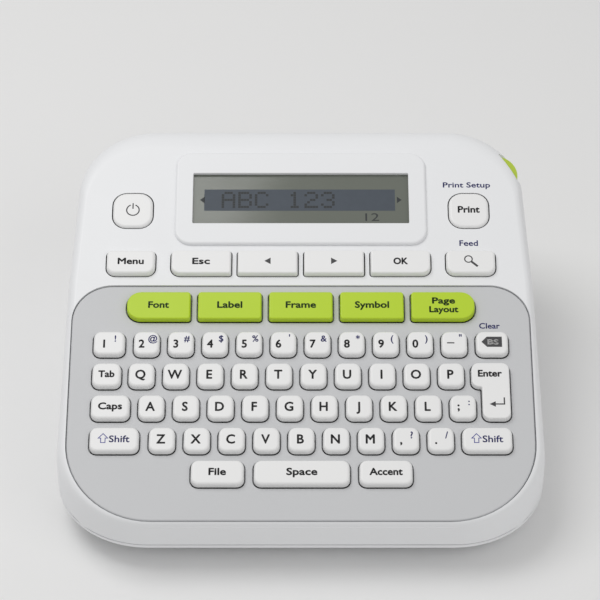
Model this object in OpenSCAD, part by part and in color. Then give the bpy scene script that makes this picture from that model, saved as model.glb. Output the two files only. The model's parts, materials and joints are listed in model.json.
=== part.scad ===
// Desktop label maker with a sloping keyboard, a tape cassette bay and a side cutter lever.
// +X is the user's right, +Y is away from the user and +Z is up. The origin is at the middle
// of the footprint, on the table. "Deck" coordinates are u (along X), v (up the slope) and
// w (out of the slope), and the module on_deck places them.

/* [Body] */
// Width over the widest part of the sides
body_w = 157; // [150:1:164]
// Depth from the front wall to the rear wall
body_d = 149; // [146:1:156]
// Height of the rear edge above the table
body_h = 65.9; // [65.2:0.1:66.6]
// Slope of the keyboard deck, in degrees
deck_tilt = 18.5; // [18:0.1:19]
// Height of the deck above the middle of the footprint
deck_z = 45.5; // [45:0.5:47]
// Wall thickness of the housings
wall = 2.2; // [1.8:0.1:2.4]
// Corner radius at the front, seen from above
front_r = 30; // [28:1:32]
// Corner radius at the rear, seen from above
rear_r = 26; // [24:1:27]
// Height of the joint between the two housings
split_z = 11; // [10:0.5:12]

/* [Keyboard] */
// Column pitch of the character keys
key_pitch = 11.14; // [11:0.01:11.2]
// Row pitch of the character keys
row_pitch = 11.72; // [11.6:0.01:11.8]
// Width of a character key
key_w = 8.5; // [8:0.1:8.6]
// Height of a character key, along the slope
key_h = 8.9; // [8.4:0.1:9.1]
// Gap between a key and the edge of its hole
key_gap = 0.35; // [0.3:0.05:0.45]
// Travel of every key
key_travel = 1; // [0.6:0.1:1]
// Height of a key above the deck
key_rise = 1.9; // [1.5:0.1:2.2]
// Height of the power key and the print key above the deck
low_key_rise = 0.7; // [0.4:0.1:1]

/* [Display] */
// Width of the raised display frame
frame_w = 84.4; // [82:0.2:86]
// Height of the raised display frame, along the slope
frame_h = 36.4; // [34:0.2:37]
// Width of the visible window
window_w = 72.6; // [70:0.2:74]
// Height of the visible window
window_h = 19.8; // [18:0.2:21]

/* [Drive] */
// Gear module
gear_m = 0.7; // [0.6:0.05:0.7]
// Diameter of the platen roller
platen_d = 8; // [7:0.5:8]
// Radius of the wound label tape
tape_roll_r = 21; // [16:0.5:21]
// Width of the label tape
tape_w = 12; // [9:3:12]

/* [Hidden] */

$fn = 48;
slice = 0.02;
eps = 0.01;

// Body levels
foot_z = 1.5;
floor_top = foot_z + 2;
shell_gap = 0.3;
half_w = body_w / 2;
half_d = body_d / 2;
rear_half_w = half_w - 3.1;
mid_half_w = half_w - 1.1;
mid_r = 30;
// Radius of the roll that ends the deck at the rear, so that its top is at body_h
roll_r = (deck_z + half_d * tan(deck_tilt) - body_h)
  / ((1 + sin(deck_tilt)) * tan(deck_tilt) + cos(deck_tilt) - 1);
roll_depth = 9;
side_roll = 2.2;
front_roll = 0.6;
// Levels of the lower housing: height, how far its sides and how far its front are set back
base_levels = [[foot_z, 3.6, 10.4], [foot_z + 0.9, 2, 8.8], [4.5, 1.1, 6.2], [9.6, 0, 0]];
rear_cx = rear_half_w - rear_r;

// Deck levels, along w
panel_top = -0.2;
panel_t = 1.7;
panel_bottom = panel_top - panel_t;
flange_top = panel_bottom - 0.4;
flange_t = 0.8;
flange_bottom = flange_top - flange_t;
mat_top = flange_bottom - key_travel - 0.8;
dome_h = 0.5;
mat_t = 1;
board_top = mat_top - mat_t - 0.1;
board_t = 1.6;

// Deck outlines, along u and v
panel_v0 = -77.4;
panel_v1 = 7.9;
panel_half_w = 75;
panel_front_r = 27.5;
panel_rear_r = 13;
frame_v = 41.8;
window_v = 41.6;
frame_r = 5.5;

// Key rows, along v
number_v = -14.5;
q_v = number_v - row_pitch;
home_v = q_v - row_pitch;
bottom_v = home_v - row_pitch;
space_v = bottom_v - row_pitch;
green_v = -0.4;
menu_v = 16.3;
power_v = 37.2;
block_half_w = 67.6;
key_r = 2.4;
green_w = 21;
green_h = 10.4;
green_pitch = 23.35;
menu_h = 9.2;
nav_w = 20;
nav_pitch = 22.05;
side_key_u = 56.4;
side_key_w = 13.4;

// Cassette bay and battery bay, along x and y
cassette_x0 = -1;
cassette_x1 = 57;
cassette_y0 = -19;
cassette_y1 = 59;
cassette_z0 = 4.2;
cassette_z1 = 21.2;
tape_x = 60.2;
tape_t = 0.2;
tape_z0 = 6.5;
cell_r = 5.25;
cell_pitch = 10.9;
cell_x0 = -65.1;
cell_y0 = -29.5;
cell_len = 43.5;
cell_z = 9.8;
cover_y0 = -35.8;
cover_y1 = 61;
cover_x0 = -71.5;
cover_x1 = 59.5;
battery_y1 = 22;
cover_gap = 0.4;
cover_top = 3.3;
hinge_r = 0.9;
hinge_y = cover_y0 + cover_gap + hinge_r;
hook_w = 8;
hook_spots = [-60, -20, 20, 48];

// Drive train
chassis_z = 23.2;
chassis_t = 1.2;
gear_z = 25;
gear_t = 3.5;
mesh_gap = 0.1;
pinion_n = 10;
idler_n = 32;
platen_n = 14;
ribbon_n = 18;
platen_x = tape_x + tape_t + 0.4 + platen_d / 2;
platen_y = 38;
idler_dir = 145;
pinion_dir = 155;
ribbon_dir = 237;
shaft_r = 1;
run_gap = 0.05;

function pitch_r(n) = gear_m * n / 2;
function spaced(na, nb) = pitch_r(na) + pitch_r(nb) + mesh_gap;
function toward(p, a, d) = [p[0] + d * cos(a), p[1] + d * sin(a)];
// Angle of a tooth on gear B that meshes with gear A, B lying in direction a from A
function mesh_phase(a, phase_a, na, nb) = a + 180 + ((a - phase_a) * na / 360 - 0.5) * 360 / nb;

platen_c = [platen_x, platen_y];
idler_c = toward(platen_c, idler_dir, spaced(platen_n, idler_n));
pinion_c = toward(idler_c, pinion_dir, spaced(idler_n, pinion_n));
ribbon_c = toward(idler_c, ribbon_dir, spaced(idler_n, ribbon_n));
idler_phase = mesh_phase(idler_dir, 0, platen_n, idler_n);
pinion_phase = mesh_phase(pinion_dir, idler_phase, idler_n, pinion_n);
ribbon_phase = mesh_phase(ribbon_dir, idler_phase, idler_n, ribbon_n);
roll_c = [27, 7];
supply_c = [20, 42];
motor_r = 10;
holder_pivot = [66.5, 10];
holder_pin_r = 1.5;

// Cutter
lever_pivot = [69.5, 26];
lever_pin_r = 2;
lever_c = [66.5, 51.5];
lever_r = 7.2;
lever_t = 2.4;
lever_dir = 31;
lever_z0 = 26;
lever_top_w = -3;
notch_d = 4.55;
notch_half_w = 5.9;
blade_y = 61.5;
blade_t = 0.8;
exit_x0 = 58.2;
exit_x1 = 63.4;
exit_z0 = 5.2;
exit_z1 = 20.8;

// DC inlet
inlet_x = -45;
inlet_z = 24;
inlet_r = 2.8;

// Fasteners: x, y and the height of the boss top
screw_spots = [
  [-70, -40.5, 23], [70, -40.5, 23], [-38, -58.5, 15.5], [38, -58.5, 15.5], [-65.5, 54.5, 44], [0, 68.3, 44]
];
rib_len = 16;
foot_spots = [[-56, -54], [56, -54], [-48, 64], [64.3, 56]];

// ---------------------------------------------------------------- outlines and helpers

// Points of a rectangle centred on the origin, with its own radius at each corner,
// counter-clockwise from the far right corner
function corner_box(w, h, r) = [
  for (i = [0:3], a = [0:18:90])
    let (sx = (i == 0 || i == 3) ? 1 : -1, sy = i < 2 ? 1 : -1)
    [sx * (w / 2 - r[i]) + r[i] * cos(a + 90 * i), sy * (h / 2 - r[i]) + r[i] * sin(a + 90 * i)]
];

module on_deck(w = 0) {
  translate([0, 0, deck_z]) rotate([deck_tilt, 0, 0]) translate([0, 0, w]) children();
}

module box(x, y, z) {
  translate([x[0], y[0], z[0]]) cube([x[1] - x[0], y[1] - y[0], z[1] - z[0]]);
}

module rod(c, r, z0, z1) {
  translate([c[0], c[1], z0]) cylinder(h = z1 - z0, r = r);
}

module rounded_block(u, v, w0, w1, size, r) {
  translate([u, v, w0]) linear_extrude(w1 - w0) polygon(corner_box(size[0], size[1], r));
}

// Corner discs of one slice of the body, from front to rear
module body_slice(inset, front, rear, has_front = true) {
  for (s = [-1, 1]) {
    if (has_front)
      translate([s * (half_w - front_r), front + front_r - inset, 0])
        cylinder(h = slice, r = front_r - inset);
    translate([s * (mid_half_w - mid_r), 8, 0]) cylinder(h = slice, r = mid_r - inset);
    translate([s * rear_cx, rear - rear_r + inset, 0]) cylinder(h = slice, r = rear_r - inset);
  }
}

// How far the sides and the front roll inward at depth w below the deck
function edge_roll(w) = pow(max(0, 1 + w / roll_depth), 3);
function front_wall_v(w) = (-half_d + w * sin(deck_tilt)) / cos(deck_tilt);

// The whole body, closed, with its skin moved inward by t; the rear edge is a roll of roll_r
module body_form(t = 0) {
  roll_v = (half_d - roll_r - roll_r * sin(deck_tilt)) / cos(deck_tilt);
  on_deck() hull() {
    rotate([-deck_tilt, 0, 0]) translate([0, 0, -deck_z]) for (level = base_levels)
      translate([0, 0, min(level[0] + t, 9.6)])
        body_slice(level[1] + t, -half_d + level[2] + t, half_d - level[1] - t);
    for (a = [-deck_tilt, 0, 18, 36, 54, 72, 90]) {
      w = -roll_r + (roll_r - t) * sin(a);
      roll = edge_roll(w + t);
      front = front_wall_v(w);
      rear = roll_v + (roll_r - t) * cos(a);
      // A slice that meets the front wall below the joint of the housings has no front discs
      above_joint = deck_z + front * sin(deck_tilt) + w * cos(deck_tilt) > split_z;
      translate([0, 0, w - slice])
        body_slice(side_roll * roll + t, front + front_roll * roll + t, rear, above_joint);
    }
  }
}

module panel_shape(grow, w0, w1) {
  v_mid = (panel_v0 + panel_v1) / 2;
  translate([0, v_mid, w0]) linear_extrude(w1 - w0) polygon(corner_box(
    2 * (panel_half_w + grow), panel_v1 - panel_v0 + 2 * grow,
    [panel_rear_r + grow, panel_rear_r + grow, panel_front_r + grow, panel_front_r + grow]
  ));
}

// ---------------------------------------------------------------- key layout
// Each key is [u, v, width, height, corner radii]

function square_key(u, v, w = key_w) = [u, v, w, key_h, [key_r, key_r, key_r, key_r]];
function key_run(first_u, count, v) = [for (i = [0:count - 1]) square_key(first_u + i * key_pitch, v)];
// A wide key whose outer edge meets the edge of the keyboard block
function edge_key(side, v, w) = square_key(side * (block_half_w - w / 2), v, w);

numbers = key_run(-50.25, 10, number_v);
top_letters = key_run(-51.6, 10, q_v);
home_letters = key_run(-48.1, 10, home_v);
bottom_letters = key_run(-44.4, 9, bottom_v);
number_set = concat([edge_key(-1, number_v, 10.3)], numbers);
backspace = edge_key(1, number_v, 10.6);
tab = edge_key(-1, q_v, 9.4);
caps = edge_key(-1, home_v, 12.6);
left_shift = edge_key(-1, bottom_v, 15.9);
right_shift = edge_key(1, bottom_v, 16.1);
file = square_key(-26.5, space_v, 17);
space = square_key(0.3, space_v, 30.6);
accent = square_key(27, space_v, 17);
enter_top = edge_key(1, q_v, 12.5);
enter_low = edge_key(1, home_v, 9.2);
power = [-side_key_u, power_v, side_key_w, 13.6, [4.6, 4.6, 4.6, 4.6]];
print = [side_key_u, power_v, side_key_w, 13.6, [4.6, 4.6, 4.6, 4.6]];
menu = [-side_key_u, menu_v, 16.2, menu_h, [1.6, 1.6, 3, 3]];
search = [side_key_u, menu_v, 16.4, menu_h, [1.6, 1.6, 3, 3]];
escape = [-1.5 * nav_pitch, menu_v, nav_w, menu_h, [0.8, 1.6, 3, 0.8]];
left = [-0.5 * nav_pitch, menu_v, nav_w, menu_h, [0.8, 0.8, 0.8, 0.8]];
right = [0.5 * nav_pitch, menu_v, nav_w, menu_h, [0.8, 0.8, 0.8, 0.8]];
ok = [1.5 * nav_pitch, menu_v, nav_w, menu_h, [1.6, 0.8, 0.8, 3]];
font = [-2 * green_pitch, green_v, green_w, green_h, [1, 4.6, 4.6, 1]];
label = [-green_pitch, green_v, green_w, green_h, [1, 1, 1, 1]];
frame = [0, green_v, green_w, green_h, [1, 1, 1, 1]];
symbol = [green_pitch, green_v, green_w, green_h, [1, 1, 1, 1]];
template = [2 * green_pitch, green_v, green_w, green_h, [4.6, 1, 1, 4.6]];

housing_keys = [power, print, menu, search, escape, left, right, ok];
panel_keys = concat(
  number_set, top_letters, home_letters, bottom_letters,
  [backspace, tab, caps, left_shift, right_shift, file, space, accent, font, label, frame, symbol, template]
);

module key_hole(k, w0, w1) {
  rounded_block(k[0], k[1], w0, w1, [k[2] + 2 * key_gap, k[3] + 2 * key_gap], [for (r = k[4]) r + key_gap]);
}

// Cap above the deck, and a wider flange that holds it under the deck
module key(k, rise = key_rise) {
  rounded_block(k[0], k[1], flange_bottom, rise, [k[2], k[3]], k[4]);
  rounded_block(k[0], k[1], flange_bottom, flange_top, [k[2] + 1.4, k[3] + 1.4], [for (r = k[4]) r + 0.7]);
}

// Two stacked outlines joined along their common right edge make the Enter key
module enter_shape(grow, w0, w1) {
  right_u = block_half_w + grow;
  join_v = q_v - key_h / 2 + key_r;
  rounded_block(enter_top[0], q_v, w0, w1, [enter_top[2] + 2 * grow, key_h + 2 * grow],
    [for (i = [0:3]) key_r + grow]);
  rounded_block(enter_low[0], home_v, w0, w1, [enter_low[2] + 2 * grow, key_h + 2 * grow],
    [for (i = [0:3]) key_r + grow]);
  box([right_u - enter_low[2] - 2 * grow, right_u], [home_v, join_v], [w0, w1]);
}

// ---------------------------------------------------------------- housings

// Screw bosses, each with a rib to the nearest wall
module screw_bosses() {
  for (s = screw_spots) {
    side = abs(s[0]) > 60 ? sign(s[0]) : 0;
    end = side == 0 ? sign(s[1]) : 0;
    rod(s, 3.4, split_z + 1.6, s[2]);
    translate([s[0] + rib_len / 2 * side, s[1] + rib_len / 2 * end, (split_z + 1.6 + s[2]) / 2])
      cube([side == 0 ? 1.6 : rib_len, end == 0 ? 1.6 : rib_len, s[2] - split_z - 1.6], center = true);
  }
}

module lever_window() {
  // Notch across the rear right corner, from the deck down, in which the lever shows
  translate([lever_c[0], lever_c[1], 0]) rotate(lever_dir)
    box([notch_d, 20], [-notch_half_w, notch_half_w], [lever_z0 - 0.6, 2 * body_h]);
  // Room for its ends behind the skin
  intersection() {
    rod(lever_c, lever_r + 0.7, lever_z0 - 0.6, body_h);
    on_deck(-40) translate([30, 20, 0]) cube([60, 70, 40 + lever_top_w + 0.4]);
    box([60, 90], [44, 90], [0, body_h]);
  }
}

module upper_housing() {
  color("whitesmoke") difference() {
    union() {
      difference() {
        body_form(0);
        body_form(wall);
      }
      intersection() {
        union() {
          screw_bosses();
          on_deck() panel_shape(2, panel_bottom - 1.6, panel_bottom);
        }
        body_form(1);
      }
    }
    box([-100, 100], [-100, 100], [0, split_z]);
    on_deck() {
      panel_shape(0.35, panel_bottom - eps, 12);
      panel_shape(-1.6, panel_bottom - 3, 0);
      for (k = housing_keys) key_hole(k, -6, 6);
      rounded_block(0, frame_v, -6, 6, [frame_w - 6, frame_h - 6], [4, 4, 4, 4]);
    }
    for (s = screw_spots) rod(s, 1.45, split_z, s[2] - 2);
    lever_window();
    box([exit_x0, exit_x1], [60, 80], [exit_z0, exit_z1]);
    translate([inlet_x, 60, inlet_z]) rotate([-90, 0, 0]) cylinder(h = 20, r = inlet_r + 1.2);
  }
}

module lower_housing() {
  color("white") difference() {
    union() {
      difference() {
        body_form(0);
        body_form(wall);
      }
      for (s = screw_spots) rod(s, 3.4, foot_z + 0.2, split_z + 1.4);
    }
    box([-100, 100], [-100, 100], [split_z - shell_gap, 20 + body_h]);
    box([cover_x0, cover_x1], [cover_y0, battery_y1], [0, floor_top + 1]);
    box([-4, cover_x1], [cover_y0, cover_y1], [0, floor_top + 1]);
    for (s = screw_spots) {
      rod(s, 1.6, 0, split_z + 2);
      rod(s, 3, 0, floor_top + 0.4);
    }
    box([exit_x0, exit_x1], [60, 80], [exit_z0, exit_z1]);
  }
}

module keypad_panel() {
  color("lightgray") on_deck() difference() {
    panel_shape(0, panel_bottom, panel_top);
    for (k = panel_keys) key_hole(k, panel_bottom - 1, 1);
    enter_shape(key_gap, panel_bottom - 1, 1);
  }
}

module display_frame() {
  color("white") on_deck() difference() {
    union() {
      rounded_block(0, frame_v, 0, 1.2, [frame_w, frame_h], [frame_r, frame_r, frame_r, frame_r]);
      rounded_block(0, frame_v, -wall, 0, [frame_w - 6.6, frame_h - 6.6], [3.7, 3.7, 3.7, 3.7]);
    }
    rounded_block(0, window_v, -3, 2, [window_w, window_h], [0.4, 0.4, 0.4, 0.4]);
    rounded_block(0, window_v, -3, -0.1, [window_w + 2.4, window_h + 2.4], [1, 1, 1, 1]);
  }
}

module display_window() {
  color([0.4, 0.42, 0.38]) on_deck()
    rounded_block(0, window_v, -1.1, -0.1, [window_w + 2.2, window_h + 2.2], [0.9, 0.9, 0.9, 0.9]);
}

module display_module() {
  color("darkslategray") on_deck() {
    rounded_block(0, window_v, board_top, -2.3, [window_w + 5, window_h + 6], [0.5, 0.5, 0.5, 0.5]);
    rounded_block(0, window_v, -2.3, -1.2, [window_w, window_h], [0.5, 0.5, 0.5, 0.5]);
  }
}

module main_board() {
  color("seagreen") on_deck() {
    box([-66, 66], [-64, 46], [board_top - board_t, board_top]);
    box([-44, 44], [46 - eps, 60], [board_top - board_t, board_top]);
    for (u = [-30:15:30]) box([u - 4, u + 4], [6, 14], [board_top - board_t - 1.2, board_top - board_t]);
  }
}

module keypad_mat() {
  color("gainsboro") on_deck() {
    difference() {
      box([-66, 66], [-64, 46], [mat_top - mat_t, mat_top]);
      box([-43, 43], [23, 47], [mat_top - mat_t - 1, mat_top + 1]);
    }
    for (k = concat(housing_keys, panel_keys, [enter_top, enter_low]))
      translate([k[0], k[1], mat_top]) cylinder(h = dome_h, r = 2.2);
  }
}

module back_cover() {
  color("white") {
    difference() {
      union() {
        box([cover_x0 + cover_gap, cover_x1 - cover_gap], [hinge_y, battery_y1 - cover_gap],
          [foot_z, cover_top]);
        box([-4 + cover_gap, cover_x1 - cover_gap], [0, cover_y1 - cover_gap], [foot_z, cover_top]);
        // Round front edge, on the axis that the cover turns about
        translate([cover_x0 + cover_gap, hinge_y, foot_z + hinge_r]) rotate([0, 90, 0])
          cylinder(h = cover_x1 - cover_x0 - 2 * cover_gap, r = hinge_r);
      }
      // Finger recess of the press tab
      box([18, 38], [cover_y1 - 5, cover_y1], [foot_z - 1, foot_z + 0.7]);
    }
    // Hooks that reach over the edge of the floor
    for (x = hook_spots) {
      box([x, x + hook_w], [hinge_y - 0.6, hinge_y + 0.4], [foot_z + hinge_r, 4.9]);
      box([x, x + hook_w], [hinge_y - 3.3, hinge_y + 0.4], [4, 4.9]);
    }
  }
}

module rubber_feet() {
  color("dimgray") for (f = foot_spots) rod(f, 4, 0, foot_z);
}

module housing_screws() {
  color("silver") for (s = screw_spots) difference() {
    union() {
      rod(s, 2.7, foot_z + 0.6, floor_top + 0.4);
      rod(s, 1.4, floor_top, min(split_z + 4, s[2] - 2.2));
    }
    rod(s, 1, 0, foot_z + 1.4);
  }
}

// ---------------------------------------------------------------- inner frame and power

module bay_frame() {
  color("gainsboro") {
    battery_x = [cell_x0 - cell_r - 0.4, cell_x0 + 5 * cell_pitch + cell_r + 0.4];
    battery_y = [-31.8, 19.3];
    difference() {
      box([battery_x[0] - 0.8, battery_x[1] + 0.8], [battery_y[0] - 1.5, battery_y[1] + 1.5], [4.2, 17.2]);
      box(battery_x, battery_y, [0, 15.6]);
      for (x = hook_spots) box([x - 0.6, x + hook_w + 0.6], [battery_y[0] - 2, battery_y[0] + 0.1], [4, 5.4]);
    }
    difference() {
      box([cassette_x0 - 2.1, 57.6], [cassette_y0 - 2, cassette_y1 + 1.4], [4.2, 23]);
      box([cassette_x0 - 0.5, 80], [cassette_y0 - 0.6, cassette_y1 + 0.4], [0, 21.6]);
      rod(ribbon_c, 4.4, 20, 30);
    }
    box([battery_x[1] + 0.8 - eps, cassette_x0 - 2.1 + eps], [-16, 16], [6, 17.2]);
  }
}

module battery_cells() {
  color("darkolivegreen") for (i = [0:5]) {
    flip = i % 2;
    x = cell_x0 + i * cell_pitch;
    nub_y = flip ? cell_y0 : cell_y0 + cell_len;
    body_y = flip ? cell_y0 + 1 : cell_y0;
    translate([x, body_y, cell_z]) rotate([-90, 0, 0]) cylinder(h = cell_len, r = cell_r);
    translate([x, nub_y, cell_z]) rotate([-90, 0, 0]) cylinder(h = 1, r = 1.9);
  }
}

module battery_contacts() {
  color("silver") for (i = [0:5]) {
    x = cell_x0 + i * cell_pitch;
    for (end = [[-31.8, 1], [19.3, -1]]) {
      y0 = min(end[0], end[0] + 0.4 * end[1]);
      box([x - 4, x + 4], [y0, y0 + 0.4], [cell_z - 4, cell_z + 4]);
      gap = end[1] > 0 ? cell_y0 - end[0] : end[0] - (cell_y0 + cell_len + 1);
      translate([x, end[1] > 0 ? end[0] : end[0] - gap, cell_z]) rotate([-90, 0, 0])
        cylinder(h = gap, r = 1.7);
    }
  }
}

module power_inlet() {
  color("black") difference() {
    box([inlet_x - 5.5, inlet_x + 5.5], [58, half_d - wall - 0.6], [inlet_z - 5.5, inlet_z + 5.5]);
    translate([inlet_x, 62, inlet_z]) rotate([-90, 0, 0]) cylinder(h = 20, r = inlet_r);
  }
  color("silver") translate([inlet_x, 62 - eps, inlet_z]) rotate([-90, 0, 0]) cylinder(h = 8, r = 0.8);
}

module chassis_plate() {
  color("lightsteelblue") {
    difference() {
      union() {
        box([-2, 72], [4, 40], [chassis_z, chassis_z + chassis_t]);
        box([-2, 67], [40 - eps, 58], [chassis_z, chassis_z + chassis_t]);
        box([5, 54], [58 - eps, 66], [chassis_z, chassis_z + chassis_t]);
      }
      rod(ribbon_c, 2.7, chassis_z - 1, gear_z);
      hull() {
        rod(platen_c, 1.8, chassis_z - 1, gear_z);
        rod([platen_c[0] + 3, platen_c[1]], 1.8, chassis_z - 1, gear_z);
      }
    }
    // Pins for the roller holder, the idler gear and the lever
    rod(holder_pivot, holder_pin_r, 4, chassis_z + eps);
    rod(idler_c, 1.5, chassis_z + chassis_t - eps, gear_z + gear_t + 0.4);
    rod(lever_pivot, lever_pin_r, chassis_z + chassis_t - eps, 46);
    // Motor bridge
    difference() {
      box([27, 51], [43, 66], [29.2, 30.4]);
      rod(pinion_c, 3.2, 28, 32);
    }
    box([27, 28.2], [43, 66], [chassis_z + chassis_t - eps, 29.2 + eps]);
    box([27, 51], [64.8, 66], [chassis_z + chassis_t - eps, 29.2 + eps]);
  }
}

// ---------------------------------------------------------------- gears and motor

// One tooth: radius, and place along the pitch as a share of it
function tooth(root_r, r, tip_r) = [
  [root_r, -0.28], [r, -0.19], [tip_r, -0.1], [tip_r, 0.1], [r, 0.19], [root_r, 0.28]
];

module gear(c, n, phase, z0, z1) {
  r = pitch_r(n);
  step = 360 / n;
  translate([c[0], c[1], z0]) linear_extrude(z1 - z0) polygon([
    for (i = [0:n - 1], p = tooth(r - 1.05 * gear_m, r, r + 0.8 * gear_m))
      [p[0] * cos(phase + (i + p[1]) * step), p[0] * sin(phase + (i + p[1]) * step)]
  ]);
}

module idler_gear() {
  color("ivory") difference() {
    union() {
      gear(idler_c, idler_n, idler_phase, gear_z, gear_z + gear_t);
      rod(idler_c, 3, gear_z - 0.4, gear_z + gear_t);
    }
    rod(idler_c, 1.5 + run_gap, gear_z - 2, gear_z + gear_t + 2);
    for (a = [0:60:300]) rod(toward(idler_c, a, 6.4), 2, gear_z - 2, gear_z + gear_t + 2);
  }
}

module platen_gear() {
  color("ivory") difference() {
    gear(platen_c, platen_n, 0, gear_z, gear_z + gear_t);
    rod(platen_c, shaft_r, gear_z - 1, gear_z + gear_t + 1);
  }
}

module motor_pinion() {
  color("gold") difference() {
    gear(pinion_c, pinion_n, pinion_phase, gear_z, gear_z + gear_t);
    rod(pinion_c, shaft_r, gear_z - 1, gear_z + gear_t + 1);
  }
  color("silver") rod(pinion_c, shaft_r, gear_z, 29.8);
}

module drive_motor() {
  color("silver") difference() {
    union() {
      rod(pinion_c, motor_r, 30.4, 45.4);
      rod(pinion_c, 3, 45.4 - eps, 46.6);
      box([pinion_c[0] - 4, pinion_c[0] + 4], [pinion_c[1] - 11.2, pinion_c[1] - 8], [38, 44]);
    }
    rod(pinion_c, 1.4, 29, 31.4);
  }
}

module ribbon_drive_gear() {
  color("ivory") {
    gear(ribbon_c, ribbon_n, ribbon_phase, gear_z, gear_z + gear_t);
    rod(ribbon_c, 2.65, 8, gear_z + eps);
    for (a = [0:120:240])
      translate([ribbon_c[0], ribbon_c[1], 8]) rotate(a) box([2.4, 3.4], [-0.5, 0.5], [0, 11]);
  }
}

module platen_roller() {
  color("dimgray") rod(platen_c, platen_d / 2, 6.8, 19.4);
  color("silver") {
    rod(platen_c, shaft_r, 5, 6.8);
    rod(platen_c, shaft_r, 19.4, gear_z + gear_t + 0.5);
  }
}

module roller_holder() {
  color("lightgray") difference() {
    union() {
      for (z = [5.2, 20]) hull() {
        rod(holder_pivot, 3.2, z, z + 1.2);
        rod(platen_c, 2.6, z, z + 1.2);
      }
      rod(holder_pivot, 3.2, 5.2, 21.2);
      box([65.7, 68.2], [11, 31], [6, 20.4]);
    }
    rod(holder_pivot, holder_pin_r + run_gap, 0, 30);
    for (z = [5, 19.8]) rod(platen_c, shaft_r + run_gap, z, z + 1.6);
  }
}

module print_head() {
  color("black") box([58.9, 59.9], [30, 46], [tape_z0 - 0.5, tape_z0 + tape_w + 1]);
}

module head_heat_sink() {
  color("silver") {
    box([58, 58.9], [28, 48], [5, 22.4]);
    box([58, 64], [28, 33], [22.4 - eps, chassis_z]);
  }
}

// ---------------------------------------------------------------- tape cassette

module cassette_case() {
  color([0.85, 0.86, 0.86]) {
    difference() {
      union() {
        box([cassette_x0, cassette_x1], [cassette_y0, cassette_y1], [cassette_z0, cassette_z1]);
        box([cassette_x1 - eps, 61.6], [-10, 22], [cassette_z0, cassette_z1]);
      }
      box([cassette_x0 + 1.2, cassette_x1 - 1.2], [cassette_y0 + 1.2, cassette_y1 - 1.2],
        [5.4, cassette_z1 - 1.2]);
      box([55, 60.8], [-8.8, 30], [5.4, cassette_z1 - 1.2]);
      rod(ribbon_c, 4.2, 18, 30);
    }
    rod(roll_c, 7.8, cassette_z0 + 1.1, 18);
    rod(supply_c, 2.5, cassette_z0 + 1.1, 18);
  }
}

module tape_roll() {
  color("white") difference() {
    rod(roll_c, tape_roll_r, tape_z0, tape_z0 + tape_w);
    rod(roll_c, 7.8 + run_gap, 0, 30);
  }
}

module label_tape() {
  color("white") box([tape_x, tape_x + tape_t], [-6, blade_y - 0.4], [tape_z0, tape_z0 + tape_w]);
}

module ribbon_supply_spool() {
  color("dimgray") difference() {
    rod(supply_c, 9, tape_z0, tape_z0 + tape_w);
    rod(supply_c, 2.5 + run_gap, 0, 30);
  }
}

module ribbon_take_up_spool() {
  color("darkslategray") difference() {
    rod(ribbon_c, 7, tape_z0, tape_z0 + tape_w);
    rod(ribbon_c, 3.7, 0, 30);
  }
}

// ---------------------------------------------------------------- cutter

module cutter_lever() {
  color("yellowgreen") difference() {
    union() {
      // Curved paddle at the corner
      intersection() {
        difference() {
          rod(lever_c, lever_r, lever_z0, body_h);
          rod(lever_c, lever_r - lever_t, lever_z0 - 1, body_h + 1);
        }
        on_deck(-50) translate([30, 20, 0]) cube([60, 70, 50 + lever_top_w]);
        translate([lever_c[0], lever_c[1], 0]) rotate(lever_dir) box([2.4, 10], [-10, 10], [0, body_h]);
      }
      // Arm along the side wall, a web to the paddle, and the finger that pushes the blade
      box([68.2, 70.6], [26, 51], [30, 40]);
      box([68.2, 72.5], [49, 51], [30, 40]);
      box([67.4, 68.6], [57.2, 61.8], [lever_z0, 36]);
      rod(lever_pivot, 3.6, 28, 42);
    }
    rod(lever_pivot, lever_pin_r + run_gap, 20, 60);
  }
}

module lever_spring() {
  color("silver") {
    difference() {
      rod(lever_pivot, 3.3, 42.6, 45.6);
      rod(lever_pivot, 2.4, 40, 50);
    }
    box([66.4, 67], [26, 40], [42.8, 43.4]);
  }
}

module cutter_blade() {
  color("silver") box([61.3, 65.4], [blade_y, blade_y + blade_t], [6, 20.4]);
  color("gray") {
    box([65.4 - eps, 67], [61.2, 62.5], [6, 24]);
    box([64.4, 67], [60.2, 61.8], [21, 34]);
  }
}

module fixed_blade() {
  color("silver") box([55.5, 59.8], [62.8, 63.6], [foot_z + wall, 20.4]);
}

// ---------------------------------------------------------------- keys

module white_key(k) {
  color("white") on_deck() key(k);
}
module low_key(k) {
  color("white") on_deck() key(k, low_key_rise);
}
module green_key(k) {
  color("yellowgreen") on_deck() key(k);
}
module key_set(keys) {
  color("white") on_deck() for (k = keys) key(k);
}
module enter_key() {
  color("white") on_deck() {
    enter_shape(0, flange_bottom, key_rise);
    enter_shape(0.7, flange_bottom, flange_top);
  }
}

upper_housing();
lower_housing();
keypad_panel();
display_frame();
display_window();
display_module();
main_board();
keypad_mat();
bay_frame();
chassis_plate();
back_cover();
cassette_case();
tape_roll();
label_tape();
ribbon_supply_spool();
ribbon_take_up_spool();
print_head();
head_heat_sink();
platen_roller();
roller_holder();
drive_motor();
motor_pinion();
idler_gear();
platen_gear();
ribbon_drive_gear();
cutter_lever();
cutter_blade();
fixed_blade();
lever_spring();
battery_cells();
battery_contacts();
power_inlet();
housing_screws();
rubber_feet();
low_key(power);  // power_key
low_key(print);  // print_key
white_key(menu);  // menu_key
white_key(escape);  // escape_key
white_key(left);  // left_key
white_key(right);  // right_key
white_key(ok);  // ok_key
white_key(search);  // search_key
green_key(font);  // font_key
green_key(label);  // label_key
green_key(frame);  // frame_key
green_key(symbol);  // symbol_key
green_key(template);  // template_key
key_set(number_set);  // number_keys
key_set(top_letters);  // top_letter_keys
key_set(home_letters);  // home_letter_keys
key_set(bottom_letters);  // bottom_letter_keys
white_key(backspace);  // backspace_key
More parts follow.
